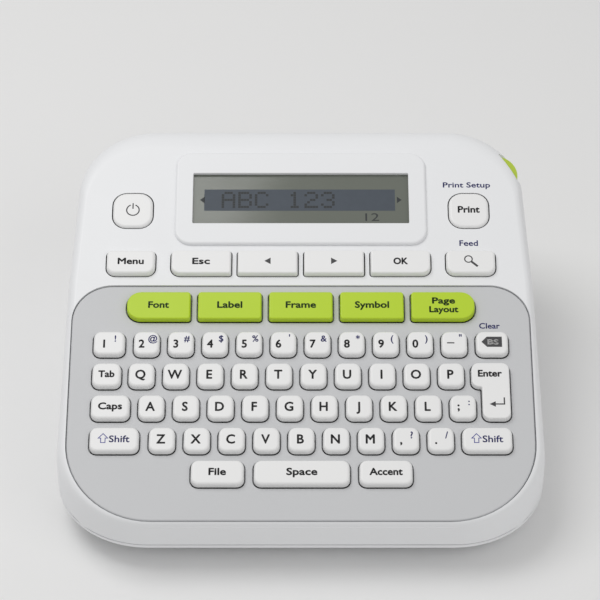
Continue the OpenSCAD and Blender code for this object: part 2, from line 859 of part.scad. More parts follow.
white_key(tab);  // tab_key
enter_key();
white_key(caps);  // caps_key
white_key(left_shift);  // left_shift_key
white_key(right_shift);  // right_shift_key
white_key(file);  // file_key
white_key(space);  // space_key
white_key(accent);  // accent_key
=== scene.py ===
"""Desktop label maker: the looks of its housings, keyboard, display and inner parts."""
import json
import math

import bmesh
import bpy
from mathutils import Matrix, Vector


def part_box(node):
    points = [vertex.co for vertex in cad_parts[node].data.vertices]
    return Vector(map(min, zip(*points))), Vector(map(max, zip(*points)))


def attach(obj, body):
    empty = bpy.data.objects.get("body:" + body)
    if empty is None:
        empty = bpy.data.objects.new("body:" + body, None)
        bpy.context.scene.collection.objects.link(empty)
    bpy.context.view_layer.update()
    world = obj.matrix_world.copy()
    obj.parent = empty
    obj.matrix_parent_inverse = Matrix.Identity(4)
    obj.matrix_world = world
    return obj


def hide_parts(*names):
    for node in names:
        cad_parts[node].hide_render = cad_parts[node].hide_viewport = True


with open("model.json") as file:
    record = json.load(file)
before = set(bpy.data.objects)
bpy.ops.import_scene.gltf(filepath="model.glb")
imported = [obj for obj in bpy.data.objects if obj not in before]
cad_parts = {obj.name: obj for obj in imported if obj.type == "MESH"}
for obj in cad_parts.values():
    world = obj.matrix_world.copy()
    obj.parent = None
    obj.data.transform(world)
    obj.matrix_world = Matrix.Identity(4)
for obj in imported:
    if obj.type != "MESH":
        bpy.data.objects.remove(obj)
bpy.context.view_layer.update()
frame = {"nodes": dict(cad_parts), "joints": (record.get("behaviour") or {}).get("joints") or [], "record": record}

MM = 0.001
NODES = frame["nodes"]

# ---------------------------------------------------------------- the sloping deck

FRAME_RISE = 1.2 * MM      # display frame above the deck
FRAME_LAP = 3 * MM         # display frame beyond the edge of its hole in the housing
FLANGE_RIM = 0.7 * MM      # hidden flange around each key
KEY_GAP = 0.35 * MM        # gap between a key and its hole
WALL = 2.2 * MM            # housing wall


def joint(name):
    """The frame's joint of that name."""
    return next(j for j in frame["joints"] if j["name"] == name)


def low_high(points):
    """Lowest and highest corners of some points."""
    low = Vector([min(p[i] for p in points) for i in range(3)])
    high = Vector([max(p[i] for p in points) for i in range(3)])
    return low, high


def deck_matrix():
    """Deck coordinates (u right, v up the slope, w out of it) to the row frame."""
    press = joint("press_ok_key")["axis"]
    turn = Matrix.Rotation(math.atan2(press[1], -press[2]), 4, "X")
    flat = [turn.inverted() @ v.co for v in NODES["display_frame"].data.vertices]
    top = low_high(flat)[1].z - FRAME_RISE
    return Matrix.Translation((0, 0, top / turn[2][2])) @ turn


DECK = deck_matrix()
TILT = DECK.to_euler().x
DECK_Z = DECK.translation.z


def deck_box(node):
    """Lowest and highest corners of a CAD node in deck coordinates."""
    back = DECK.inverted()
    return low_high([back @ v.co for v in NODES[node].data.vertices])


def deck_solids(node):
    """Deck boxes of the separate solids of a CAD node, from left to right."""
    bm = bmesh.new()
    bm.from_mesh(NODES[node].data)
    bmesh.ops.remove_doubles(bm, verts=bm.verts, dist=0.002 * MM)
    bm.transform(DECK.inverted())
    left, boxes = set(bm.verts), []
    while left:
        group, edge = set(), [left.pop()]
        while edge:
            v = edge.pop()
            group.add(v)
            near = {e.other_vert(v) for e in v.link_edges} & left
            left -= near
            edge += near
        boxes.append(low_high([v.co for v in group]))
    bm.free()
    return sorted(boxes, key=lambda b: b[0].x)


# ---------------------------------------------------------------- colours and shader groups


def srgb(r, g, b):
    """An 8-bit display colour as linear RGBA."""
    def one(c):
        c /= 255
        return c / 12.92 if c <= 0.04045 else ((c + 0.055) / 1.055) ** 2.4
    return (one(r), one(g), one(b), 1.0)


def new_group(name, inputs, outputs):
    """An empty shader group with float or colour sockets, its input and its output node."""
    group = bpy.data.node_groups.new(name, "ShaderNodeTree")
    for side, sockets in (("INPUT", inputs), ("OUTPUT", outputs)):
        for label, kind in sockets:
            group.interface.new_socket(label, in_out=side, socket_type="NodeSocket" + kind)
    return group, group.nodes.new("NodeGroupInput"), group.nodes.new("NodeGroupOutput")


def link_chain(tree, *pairs):
    """Links output and input sockets given two by two."""
    for start, end in pairs:
        tree.links.new(start, end)


def math_node(tree, operation, first, second):
    """A math node whose inputs are sockets or plain numbers."""
    node = tree.nodes.new("ShaderNodeMath")
    node.operation = operation
    for slot, value in enumerate((first, second)):
        if isinstance(value, (int, float)):
            node.inputs[slot].default_value = value
        else:
            tree.links.new(value, node.inputs[slot])
    return node.outputs[0]


def noise_node(tree, scale, detail, roughness=0.55):
    """Noise on object coordinates, with its scale a socket or a number."""
    coords = tree.nodes.new("ShaderNodeTexCoord")
    noise = tree.nodes.new("ShaderNodeTexNoise")
    noise.inputs["Detail"].default_value = detail
    noise.inputs["Roughness"].default_value = roughness
    tree.links.new(coords.outputs["Object"], noise.inputs["Vector"])
    if isinstance(scale, (int, float)):
        noise.inputs["Scale"].default_value = scale
    else:
        tree.links.new(scale, noise.inputs["Scale"])
    return noise.outputs["Fac"]


def spark_group():
    """Fine spark-eroded texture of moulded plastic: a height from two sizes of grain."""
    group, source, out = new_group(
        "moulded_grain", [("Scale", "Float"), ("Depth", "Float")], [("Height", "Float")])
    fine = noise_node(group, source.outputs["Scale"], 2.0)
    coarse = noise_node(group, math_node(group, "MULTIPLY", source.outputs["Scale"], 0.31), 1.0)
    mixed = math_node(group, "ADD", fine, math_node(group, "MULTIPLY", coarse, 0.6))
    link_chain(group, (math_node(group, "MULTIPLY", mixed, source.outputs["Depth"]), out.inputs["Height"]))
    return group


def tone_group():
    """Slow drift of a colour over a moulding."""
    group, source, out = new_group(
        "tone_drift", [("Color", "Color"), ("Amount", "Float"), ("Scale", "Float")], [("Color", "Color")])
    drift = noise_node(group, source.outputs["Scale"], 3.0)
    centred = math_node(group, "SUBTRACT", drift, 0.5)
    value = math_node(group, "ADD", 1.0, math_node(group, "MULTIPLY", centred, source.outputs["Amount"]))
    shade = group.nodes.new("ShaderNodeHueSaturation")
    link_chain(group, (value, shade.inputs["Value"]), (source.outputs["Color"], shade.inputs["Color"]),
               (shade.outputs["Color"], out.inputs["Color"]))
    return group


def sheen_group():
    """Roughness that varies where a surface has been handled."""
    group, source, out = new_group(
        "handled_sheen", [("Roughness", "Float"), ("Amount", "Float"), ("Scale", "Float")],
        [("Roughness", "Float")])
    patches = noise_node(group, source.outputs["Scale"], 4.0, 0.62)
    centred = math_node(group, "SUBTRACT", patches, 0.5)
    change = math_node(group, "MULTIPLY", centred, source.outputs["Amount"])
    link_chain(group, (math_node(group, "ADD", source.outputs["Roughness"], change), out.inputs["Roughness"]))
    return group


def brushed_group():
    """Fine parallel scratches of drawn or brushed metal, along X."""
    group, source, out = new_group(
        "brushed_lines", [("Scale", "Float"), ("Depth", "Float")], [("Height", "Float")])
    coords = group.nodes.new("ShaderNodeTexCoord")
    stretch = group.nodes.new("ShaderNodeMapping")
    stretch.inputs["Scale"].default_value = (0.04, 1.0, 1.0)
    noise = group.nodes.new("ShaderNodeTexNoise")
    noise.inputs["Detail"].default_value = 3.0
    link_chain(group, (coords.outputs["Object"], stretch.inputs["Vector"]),
               (stretch.outputs["Vector"], noise.inputs["Vector"]),
               (source.outputs["Scale"], noise.inputs["Scale"]))
    height = math_node(group, "MULTIPLY", noise.outputs["Fac"], source.outputs["Depth"])
    link_chain(group, (height, out.inputs["Height"]))
    return group


GRAIN = spark_group()
TONE = tone_group()
SHEEN = sheen_group()
BRUSHED = brushed_group()


def group_node(tree, group, **values):
    """A group placed in a tree, with values for its inputs."""
    node = tree.nodes.new("ShaderNodeGroup")
    node.node_tree = group
    for label, value in values.items():
        node.inputs[label].default_value = value
    return node


def new_material(name, roughness, **sockets):
    """A material whose Principled shader has these plain socket values."""
    material = bpy.data.materials.new(name)
    material.use_nodes = True
    shader = material.node_tree.nodes["Principled BSDF"]
    shader.inputs["Roughness"].default_value = roughness
    for label, value in sockets.items():
        shader.inputs[label.replace("_", " ")].default_value = value
    return material, material.node_tree, shader


def bump(tree, shader, height, strength, distance):
    """A bump node from a height socket to the shader's normal."""
    node = tree.nodes.new("ShaderNodeBump")
    node.inputs["Strength"].default_value = strength
    node.inputs["Distance"].default_value = distance
    tree.links.new(height, node.inputs["Height"])
    tree.links.new(node.outputs["Normal"], shader.inputs["Normal"])


def moulded(name, colour, roughness=0.45, grain=2600.0, depth=0.3, drift=0.04, **sockets):
    """Injection-moulded plastic: spark texture, slow colour drift and handled sheen."""
    material, tree, shader = new_material(name, roughness, **sockets)
    tone = group_node(tree, TONE, Color=colour, Amount=drift, Scale=22.0)
    sheen = group_node(tree, SHEEN, Roughness=roughness, Amount=0.12, Scale=60.0)
    texture = group_node(tree, GRAIN, Scale=grain, Depth=1.0)
    link_chain(tree, (tone.outputs["Color"], shader.inputs["Base Color"]),
               (sheen.outputs["Roughness"], shader.inputs["Roughness"]))
    bump(tree, shader, texture.outputs["Height"], depth, 0.03 * MM)
    material.diffuse_color = colour
    return material


def metal(name, colour, roughness=0.3):
    """Brushed or drawn metal."""
    material, tree, shader = new_material(name, roughness, Metallic=1.0)
    tone = group_node(tree, TONE, Color=colour, Amount=0.1, Scale=40.0)
    sheen = group_node(tree, SHEEN, Roughness=roughness, Amount=0.2, Scale=120.0)
    texture = group_node(tree, BRUSHED, Scale=900.0, Depth=1.0)
    link_chain(tree, (tone.outputs["Color"], shader.inputs["Base Color"]),
               (sheen.outputs["Roughness"], shader.inputs["Roughness"]))
    bump(tree, shader, texture.outputs["Height"], 0.25, 0.02 * MM)
    return material


def ink(name, colour):
    """Printed legend ink, slightly uneven."""
    material, tree, shader = new_material(name, 0.5)
    tone = group_node(tree, TONE, Color=colour, Amount=0.2, Scale=400.0)
    link_chain(tree, (tone.outputs["Color"], shader.inputs["Base Color"]))
    return material


MATERIALS = {
    "housing_white": moulded("housing_white", srgb(238, 239, 241), 0.42, depth=0.22, drift=0.02),
    "panel_grey": moulded("panel_grey", srgb(203, 204, 206), 0.5, grain=3200.0, depth=0.4, drift=0.03),
    "key_white": moulded("key_white", srgb(240, 240, 240), 0.4, grain=3400.0, depth=0.2, drift=0.02),
    "key_green": moulded("key_green", srgb(186, 216, 38), 0.42, grain=3400.0, depth=0.2),
    "lever_green": moulded("lever_green", srgb(180, 202, 62), 0.45, depth=0.3),
    "window_clear": moulded("window_clear", srgb(108, 112, 104), 0.12, depth=0.02),
    "display_grey": moulded("display_grey", srgb(104, 108, 100), 0.35, depth=0.05),
    "board_green": moulded("board_green", srgb(28, 92, 52), 0.35, grain=900.0, depth=0.2),
    "silicone": moulded("silicone", srgb(196, 196, 194), 0.7, depth=0.3),
    "inner_plastic": moulded("inner_plastic", srgb(214, 215, 214), 0.5),
    "steel": metal("steel", srgb(190, 192, 195)),
    "case_plastic": moulded("case_plastic", srgb(216, 218, 219), 0.4),
    "tape_white": moulded("tape_white", srgb(242, 242, 238), 0.35, depth=0.1),
    "ribbon_black": moulded("ribbon_black", srgb(34, 34, 36), 0.3, depth=0.1),
    "head_ceramic": moulded("head_ceramic", srgb(40, 40, 43), 0.2, depth=0.05),
    "heat_sink": metal("heat_sink", srgb(205, 207, 210), 0.38),
    "roller_rubber": moulded("roller_rubber", srgb(48, 48, 48), 0.75, grain=1800.0, depth=0.6),
    "gear_plastic": moulded("gear_plastic", srgb(232, 228, 212), 0.4),
    "pinion_brass": metal("pinion_brass", srgb(205, 170, 92), 0.32),
    "cell_wrap": moulded("cell_wrap", srgb(52, 58, 66), 0.25, depth=0.05),
    "black_plastic": moulded("black_plastic", srgb(30, 30, 31), 0.4),
    "foot_rubber": moulded("foot_rubber", srgb(120, 122, 124), 0.8, grain=1500.0, depth=0.6),
}
INK_DARK = ink("ink_dark", srgb(62, 62, 64))
INK_BLUE = ink("ink_blue", srgb(74, 76, 150))
INK_LIGHT = ink("ink_light", srgb(232, 232, 232))
SEGMENT_DARK = ink("segment_dark", srgb(38, 42, 44))
SEGMENT_BAND = ink("segment_band", srgb(66, 74, 84))

# ---------------------------------------------------------------- mesh helpers


SHARP_ANGLE = math.radians(32)     # edges sharper than this stay sharp in the shading
BEVEL_ANGLE = math.radians(35)     # edges sharper than this are rounded by rounder()


def add_piece(name, bm, material, body, replaced=()):
    """Turns a bmesh into a piece that rides on a body."""
    mesh = bpy.data.meshes.new(name)
    bmesh.ops.recalc_face_normals(bm, faces=bm.faces)
    bm.to_mesh(mesh)
    bm.free()
    mesh.materials.append(material)
    mesh.shade_smooth()
    mesh.set_sharp_from_angle(angle=SHARP_ANGLE)
    piece = bpy.data.objects.new(name, mesh)
    bpy.context.scene.collection.objects.link(piece)
    even = piece.modifiers.new("even_shading", "WEIGHTED_NORMAL")
    even.keep_sharp = True
    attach(piece, body)
    if replaced:
        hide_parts(*replaced)
    return piece


def outline_face(bm, corners, radii, level, segments=6):
    """A face at one level through some corners, each rounded with its own radius."""
    verts = [bm.verts.new((x, y, level)) for x, y in corners]
    face = bm.faces.new(verts)
    for vert, radius in zip(verts, radii):
        bmesh.ops.bevel(bm, geom=[vert], offset=radius, offset_type="OFFSET", segments=segments,
                        profile=0.5, affect="VERTICES", material=-1)
    bm.faces.ensure_lookup_table()
    return bm.faces[0]


def raise_face(bm, face, height):
    """Extrudes a face along W and returns the new far face."""
    out = bmesh.ops.extrude_face_region(bm, geom=[face])
    verts = [g for g in out["geom"] if isinstance(g, bmesh.types.BMVert)]
    bmesh.ops.translate(bm, verts=verts, vec=(0, 0, height))
    return next(g for g in out["geom"] if isinstance(g, bmesh.types.BMFace))


def box_corners(centre, size):
    """Corners of a rectangle, from the far right, counter-clockwise."""
    u, v = centre
    w, h = size[0] / 2, size[1] / 2
    return [(u + w, v + h), (u - w, v + h), (u - w, v - h), (u + w, v - h)]


def prism(corners, radii, low, high, rim=0.0, rim_segments=4, draft=0.0, segments=6):
    """A bmesh of a rounded outline from low to high, narrowed by draft and rounded over its upper rim."""
    bm = bmesh.new()
    face = raise_face(bm, outline_face(bm, corners, radii, low, segments), high - low)
    if draft:
        low_c, high_c = low_high([v.co for v in face.verts])
        size, middle = high_c - low_c, (low_c + high_c) / 2
        shrink = Matrix.Diagonal((1 - 2 * draft / size.x, 1 - 2 * draft / size.y, 1, 1))
        about = Matrix.Translation(middle)
        bmesh.ops.transform(bm, matrix=about @ shrink @ about.inverted(), verts=face.verts)
    if rim:
        bmesh.ops.bevel(bm, geom=list(face.edges), offset=rim, offset_type="OFFSET",
                        segments=rim_segments, profile=0.5, affect="EDGES", material=-1)
    return bm


def merge_into(bm, other):
    """Adds one bmesh to another and frees it."""
    mesh = bpy.data.meshes.new("part")
    other.to_mesh(mesh)
    other.free()
    bm.from_mesh(mesh)
    bpy.data.meshes.remove(mesh)


def cut(bm, cutter, operation="DIFFERENCE"):
    """The exact boolean of two bmeshes; both are used up."""
    scene = bpy.context.scene
    pair = []
    for part in (bm, cutter):
        bmesh.ops.recalc_face_normals(part, faces=part.faces)
        mesh = bpy.data.meshes.new("solid")
        part.to_mesh(mesh)
        part.free()
        pair.append(bpy.data.objects.new("solid", mesh))
        scene.collection.objects.link(pair[-1])
    tool = pair[0].modifiers.new("cut", "BOOLEAN")
    tool.operation = operation
    tool.solver = "EXACT"
    tool.object = pair[1]
    bpy.context.view_layer.update()
    depsgraph = bpy.context.evaluated_depsgraph_get()
    result = bmesh.new()
    result.from_mesh(pair[0].evaluated_get(depsgraph).to_mesh())
    for solid in pair:
        mesh = solid.data
        bpy.data.objects.remove(solid)
        bpy.data.meshes.remove(mesh)
    return result


SLOTS = {s["node"]: s["material_slot"] for s in frame["record"]["subparts"]}
BODIES = {n: b for b, members in frame["record"]["behaviour"]["bodies"].items() for n in members}

for cad_node, cad_object in NODES.items():
    cad_object.data.materials.clear()
    cad_object.data.materials.append(MATERIALS[SLOTS[cad_node]])

# ---------------------------------------------------------------- upper housing

FRONT_R = 30 * MM
REAR_R = 26 * MM
MID_R = 30 * MM
MID_Y = 8 * MM
REAR_NARROW = 3.1 * MM     # how much narrower the rear is on each side
MID_NARROW = 1.1 * MM
ROLL_DEPTH = 9 * MM
SIDE_ROLL = 2.2 * MM
FRONT_ROLL = 0.6 * MM
SHELL_LOW, SHELL_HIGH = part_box("upper_housing")
HALF_W = SHELL_HIGH.x
HALF_D = (SHELL_HIGH.y - SHELL_LOW.y) / 2
# Radius of the roll of the rear edge, from the height that it ends at
ROLL_R = ((DECK_Z + HALF_D * math.tan(TILT) - SHELL_HIGH.z)
          / ((1 + math.sin(TILT)) * math.tan(TILT) + math.cos(TILT) - 1))
RIM_R = 1.2 * MM           # rounding where the deck meets the sides and the front
ROLL_TURNS = [-math.degrees(TILT), 0, 9, 18, 27, 36, 45, 51, 57, 63, 67, 71, 75, 79, 83, 86, 88, 90]
PANEL_LOW, PANEL_HIGH = deck_box("keypad_panel")
PANEL_FRONT_R = 27.5 * MM
PANEL_REAR_R = 13 * MM

# Directions of the ring's points on the right: every 5 degrees, closer where the side is nearly straight
SIDE_TURNS = ([-90 + 5 * i for i in range(17)] + [-6, -4, -3, -2, -1, 0, 1, 2, 3, 4, 6]
              + [10 + 5 * i for i in range(17)])


def body_ring(inset, front, rear):
    """Points of one slice of the body: in each direction, the outermost of its corner discs."""
    discs = []
    for side in (-1, 1):
        discs += [
            (side * (HALF_W - FRONT_R), front + FRONT_R - inset, FRONT_R - inset),
            (side * (HALF_W - MID_NARROW - MID_R), MID_Y, MID_R - inset),
            (side * (HALF_W - REAR_NARROW - REAR_R), rear - REAR_R + inset, REAR_R - inset),
        ]
    points = []
    for turn in SIDE_TURNS + [180 - t for t in reversed(SIDE_TURNS)]:
        nx, ny = math.cos(math.radians(turn)), math.sin(math.radians(turn))
        x, y, r = max(discs, key=lambda d: d[0] * nx + d[1] * ny + d[2])
        points.append((x + r * nx, y + r * ny))
    return points


def body_levels(inset, bottom):
    """The body's slices from a level bottom up to the deck, each a list of points."""
    base = [Vector((x, y, bottom)) for x, y in body_ring(inset, -HALF_D + inset, HALF_D - inset)]
    levels = [base]
    roll_v = (HALF_D - ROLL_R - ROLL_R * math.sin(TILT)) / math.cos(TILT)
    for step, turn in enumerate(ROLL_TURNS):
        up, along = math.sin(math.radians(turn)), math.cos(math.radians(turn))
        w = -ROLL_R + (ROLL_R - inset) * up
        roll = max(0.0, 1 + (w + inset) / ROLL_DEPTH) ** 3
        rise = max(0.0, w + inset + RIM_R)
        rim = RIM_R - math.sqrt(max(0.0, RIM_R ** 2 - rise ** 2))
        wall_v = (-HALF_D + w * math.sin(TILT)) / math.cos(TILT)
        ring = body_ring(SIDE_ROLL * roll + rim + inset, wall_v + FRONT_ROLL * roll + rim + inset,
                         roll_v + (ROLL_R - inset) * along)
        level = [DECK @ Vector((u, v, w)) for u, v in ring]
        # Where a slice would pass below the bottom, the wall is straight and its point stays there
        lowest = bottom + (step + 1) * 0.01 * MM
        levels.append([Vector((start.x, start.y, lowest)) if point.z < lowest else point
                       for start, point in zip(base, level)])
    return levels


def body_solid(inset, bottom):
    """The body's closed form, drawn up ring by ring from its lowest slice."""
    bm = bmesh.new()
    levels = body_levels(inset, bottom)
    bmesh.ops.create_circle(bm, segments=len(levels[0]), radius=1.0, cap_ends=True)
    bm.verts.ensure_lookup_table()
    for vert, point in zip(bm.verts, levels[0]):
        vert.co = point
    bm.faces.ensure_lookup_table()
    face = bm.faces[0]
    for level in levels[1:]:
        order = [v.index for v in face.verts]
        out = bmesh.ops.extrude_face_region(bm, geom=[face])
        # Only the first face stays, as the underside; the others would be walls across the inside
        if level is not levels[1]:
            bmesh.ops.delete(bm, geom=[face], context="FACES_ONLY")
        face = next(g for g in out["geom"] if isinstance(g, bmesh.types.BMFace))
        for vert, index in zip(face.verts, order):
            vert.co = level[index]
            vert.index = index
    return bm


def shape(corners, radii, low, high, **extra):
    """A prism on the deck, in the row frame."""
    bm = prism(corners, radii, low, high, **extra)
    bm.transform(DECK)
    return bm


def turns_left(before, corner, after):
    """Whether a counter-clockwise outline is convex at a corner."""
    return ((corner[0] - before[0]) * (after[1] - corner[1])
            - (corner[1] - before[1]) * (after[0] - corner[0])) > 0


def grown(corners, radii, amount):
    """Corners and radii of a right-angled, counter-clockwise outline moved outward by an amount."""
    moved, rounds = [], []
    for i, corner in enumerate(corners):
        before, after = corners[i - 1], corners[(i + 1) % len(corners)]
        x, y = corner
        for start, end in ((before, corner), (corner, after)):
            length = math.hypot(end[0] - start[0], end[1] - start[1])
            x += amount * (end[1] - start[1]) / length
            y -= amount * (end[0] - start[0]) / length
        moved.append((x, y))
        rounds.append(radii[i] + (amount if turns_left(before, corner, after) else -amount))
    return moved, rounds


PANEL_CENTRE = ((PANEL_LOW.x + PANEL_HIGH.x) / 2, (PANEL_LOW.y + PANEL_HIGH.y) / 2)
PANEL_CORNERS = box_corners(PANEL_CENTRE, (PANEL_HIGH.x - PANEL_LOW.x, PANEL_HIGH.y - PANEL_LOW.y))
PANEL_RADII = (PANEL_REAR_R, PANEL_REAR_R, PANEL_FRONT_R, PANEL_FRONT_R)


def panel_shape(low, high, grow=0.0, **extra):
    """The keypad panel's outline on the deck, grown all round."""
    corners, radii = grown(PANEL_CORNERS, PANEL_RADII, grow)
    return shape(corners, radii, low, high, segments=16, **extra)


# ---------------------------------------------------------------- keys

EVEN_CORNERS = (2.4, 2.4, 2.4, 2.4)
CORNERS = {          # corner radii in mm of the keys that differ, from the far right
    "power_key": (4.6, 4.6, 4.6, 4.6), "print_key": (4.6, 4.6, 4.6, 4.6),
    "menu_key": (1.6, 1.6, 3, 3), "search_key": (1.6, 1.6, 3, 3), "escape_key": (0.8, 1.6, 3, 0.8),
    "left_key": (0.8, 0.8, 0.8, 0.8), "right_key": (0.8, 0.8, 0.8, 0.8), "ok_key": (1.6, 0.8, 0.8, 3),
    "font_key": (1, 4.6, 4.6, 1), "label_key": (1, 1, 1, 1), "frame_key": (1, 1, 1, 1),
    "symbol_key": (1, 1, 1, 1), "template_key": (4.6, 1, 1, 4.6),
}
ENTER_TOP_W = 12.5 * MM
ENTER_LOW_W = 9.2 * MM
ROW_KEY = deck_solids("home_letter_keys")[0]
KEY_H = ROW_KEY[1].y - ROW_KEY[0].y - 2 * FLANGE_RIM
FLANGE_LOW = ROW_KEY[0].z
FLANGE_HIGH = FLANGE_LOW + 0.8 * MM
# Below this level a key's sides and its flange are near-black: painted shade in the gap round the key
SKIRT_TOP = -0.25 * MM
WHITE_EDGE = (0.85 * MM, 0.2 * MM)     # rounding over a cap's rim, and how much its sides narrow
GREEN_EDGE = (0.45 * MM, 0.15 * MM)
KEY_NODES = [n for n in NODES if n.endswith("_key") or n.endswith("_keys")]
GREEN_NODES = [n for n in KEY_NODES if SLOTS[n] == "key_green"]


def key_outlines(node):
    """Corners and radii of each key of a node, from left to right."""
    if node == "enter_key":
        low, high = deck_box(node)
        left, right = low.x + FLANGE_RIM, high.x - FLANGE_RIM
        near, far = low.y + FLANGE_RIM, high.y - FLANGE_RIM
        step = far - KEY_H
        corners = [(right, far), (right - ENTER_TOP_W, far), (right - ENTER_TOP_W, step),
                   (right - ENTER_LOW_W, step), (right - ENTER_LOW_W, near), (right, near)]
        return [(corners, [r * MM for r in (2.4, 2.4, 2.4, 0.6, 2.4, 2.4)])]
    radii = [r * MM for r in CORNERS.get(node, EVEN_CORNERS)]
    outlines = []
    for low, high in deck_solids(node):
        centre = ((low.x + high.x) / 2, (low.y + high.y) / 2)
        size = (high.x - low.x - 2 * FLANGE_RIM, high.y - low.y - 2 * FLANGE_RIM)
        outlines.append((box_corners(centre, size), radii))
    return outlines


KEYS = {node: key_outlines(node) for node in KEY_NODES}
TOPS = {node: deck_box(node)[1].z for node in KEY_NODES}


def outline_middle(corners):
    """Middle of an outline's box."""
    xs, ys = [c[0] for c in corners], [c[1] for c in corners]
    return Vector(((min(xs) + max(xs)) / 2, (min(ys) + max(ys)) / 2))


def build_keys(node):
    """All the key caps of a node, each with a skirt and flange below the deck in near-black: painted shade for the
    gap round the key.
    """
    painted_gap, caps = bmesh.new(), bmesh.new()
    rim, draft = GREEN_EDGE if node in GREEN_NODES else WHITE_EDGE
    for corners, radii in KEYS[node]:
        # A rim wider than a corner's radius would fold over itself
        merge_into(caps, shape(corners, radii, SKIRT_TOP, TOPS[node], rim=min(rim, 0.75 * min(radii)),
                               draft=draft))
        merge_into(painted_gap, shape(corners, radii, FLANGE_LOW, SKIRT_TOP + 0.05 * MM))
        merge_into(painted_gap, shape(*grown(corners, radii, FLANGE_RIM), FLANGE_LOW, FLANGE_HIGH))
    # The parts below the deck get the near-black second material: painted shade in the key's gap
    for face in painted_gap.faces:
        face.material_index = 1
    merge_into(caps, painted_gap)
    piece = add_piece(node + "_caps", caps, MATERIALS[SLOTS[node]], BODIES[node], (node,))
    piece.data.materials.append(KEY_GAP_SHADE)


# Near-black for the parts of a key below the deck: painted shade that darkens the gap round each key
KEY_GAP_SHADE = moulded("key_skirt", srgb(44, 45, 47), 0.6, grain=1500.0)
for key_node in KEY_NODES:
    build_keys(key_node)


def key_holes(nodes, low, high):
    """Cutters for the holes of some keys."""
    cutter = bmesh.new()
    for node in nodes:
        for corners, radii in KEYS[node]:
            merge_into(cutter, shape(*grown(corners, radii, KEY_GAP), low, high))
    return cutter


# ---------------------------------------------------------------- housings and panel

SPLIT_Z = SHELL_LOW.z
PANEL_BOTTOM = PANEL_LOW.z
PANEL_TOP = PANEL_HIGH.z
PANEL_SEAM = 0.35 * MM
HOUSING_KEYS = ["power_key", "print_key", "menu_key", "search_key", "escape_key", "left_key",
                "right_key", "ok_key"]
PANEL_KEYS = [n for n in KEY_NODES if n not in HOUSING_KEYS]


def rounder(piece, width, segments=3):
    """A live bevel on a piece's sharp edges, kept below its even shading."""
    bevel = piece.modifiers.new("edges", "BEVEL")
    bevel.width = width
    bevel.segments = segments
    bevel.limit_method = "ANGLE"
    bevel.angle_limit = BEVEL_ANGLE
    piece.modifiers.move(len(piece.modifiers) - 1, 0)
    return piece


def box_solid(low, high):
    """A box from its lowest to its highest corner."""
    bm = bmesh.new()
    bmesh.ops.create_cube(bm, size=1.0)
    size, middle = Vector(high) - Vector(low), (Vector(low) + Vector(high)) / 2
    bmesh.ops.transform(bm, matrix=Matrix.Translation(middle) @ Matrix.Diagonal((*size, 1)), verts=bm.verts)
    return bm


def post(x, y, radius, low, high, segments=48):
    """An upright cylinder."""
    bm = bmesh.new()
    bmesh.ops.create_cone(bm, cap_ends=True, segments=segments, radius1=radius, radius2=radius,
                          depth=high - low)
    bmesh.ops.translate(bm, verts=bm.verts, vec=(x, y, (low + high) / 2))
    return bm


def upper_shell():
    """The upper housing: body skin, panel ledge, holes for the keys, display, lever, tape and plug."""
    shell = cut(body_solid(0.0, SPLIT_Z), body_solid(WALL, SPLIT_Z - 4 * MM))
    ledge = cut(panel_shape(PANEL_BOTTOM - 1.6 * MM, PANEL_BOTTOM, 1.6 * MM),
                panel_shape(PANEL_BOTTOM - 4 * MM, PANEL_BOTTOM + 4 * MM, -1.6 * MM))
    shell = cut(shell, ledge, "UNION")
    shell = cut(shell, panel_shape(PANEL_BOTTOM, 12 * MM, PANEL_SEAM))
    shell = cut(shell, key_holes(HOUSING_KEYS, -6 * MM, 6 * MM))
    frame_low, frame_high = deck_box("display_frame")
    middle = ((frame_low.x + frame_high.x) / 2, (frame_low.y + frame_high.y) / 2)
    size = (frame_high.x - frame_low.x - 2 * FRAME_LAP, frame_high.y - frame_low.y - 2 * FRAME_LAP)
    shell = cut(shell, shape(box_corners(middle, size), [4 * MM] * 4, -6 * MM, 6 * MM))
    shell = cut(shell, box_solid(*TAPE_EXIT))
    hole = post(0, 0, INLET_R + INLET_RING, -12 * MM, 12 * MM)
    to_rear = Matrix.Translation((INLET_CENTRE.x, HALF_D, INLET_CENTRE.z))
    hole.transform(to_rear @ Matrix.Rotation(math.radians(90), 4, "X"))
    shell = cut(shell, hole)
    for opening in lever_window():
        shell = cut(shell, opening)
    piece = add_piece("upper_shell", shell, MATERIALS["housing_white"], BODIES["upper_housing"],
                      ("upper_housing",))
    return rounder(piece, 0.25 * MM)


# Tape exit, plug and lever, from the parts that they belong to
TAPE_LOW, TAPE_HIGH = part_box("label_tape")
TAPE_EXIT = (Vector((TAPE_LOW.x - 2 * MM, 60 * MM, TAPE_LOW.z - 1.3 * MM)),
             Vector((TAPE_LOW.x + 3.2 * MM, 80 * MM, TAPE_HIGH.z + 2.3 * MM)))
INLET_LOW, INLET_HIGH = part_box("power_inlet")
INLET_CENTRE = (INLET_LOW + INLET_HIGH) / 2
INLET_R = 2.8 * MM         # bore of the inlet, and the ring around it
INLET_RING = 1.2 * MM
LEVER_R = 7.2 * MM         # the lever's round face, and its middle
LEVER_C = Vector((66.5 * MM, 51.5 * MM))
LEVER_ROOM = 0.7 * MM      # free space around it behind the skin
LEVER_ANGLE = math.radians(31)
LEVER_LOW = 25.4 * MM
NOTCH_D = 4.55 * MM        # from the lever's middle to the straight edge of the corner notch
NOTCH_HALF_W = 5.9 * MM


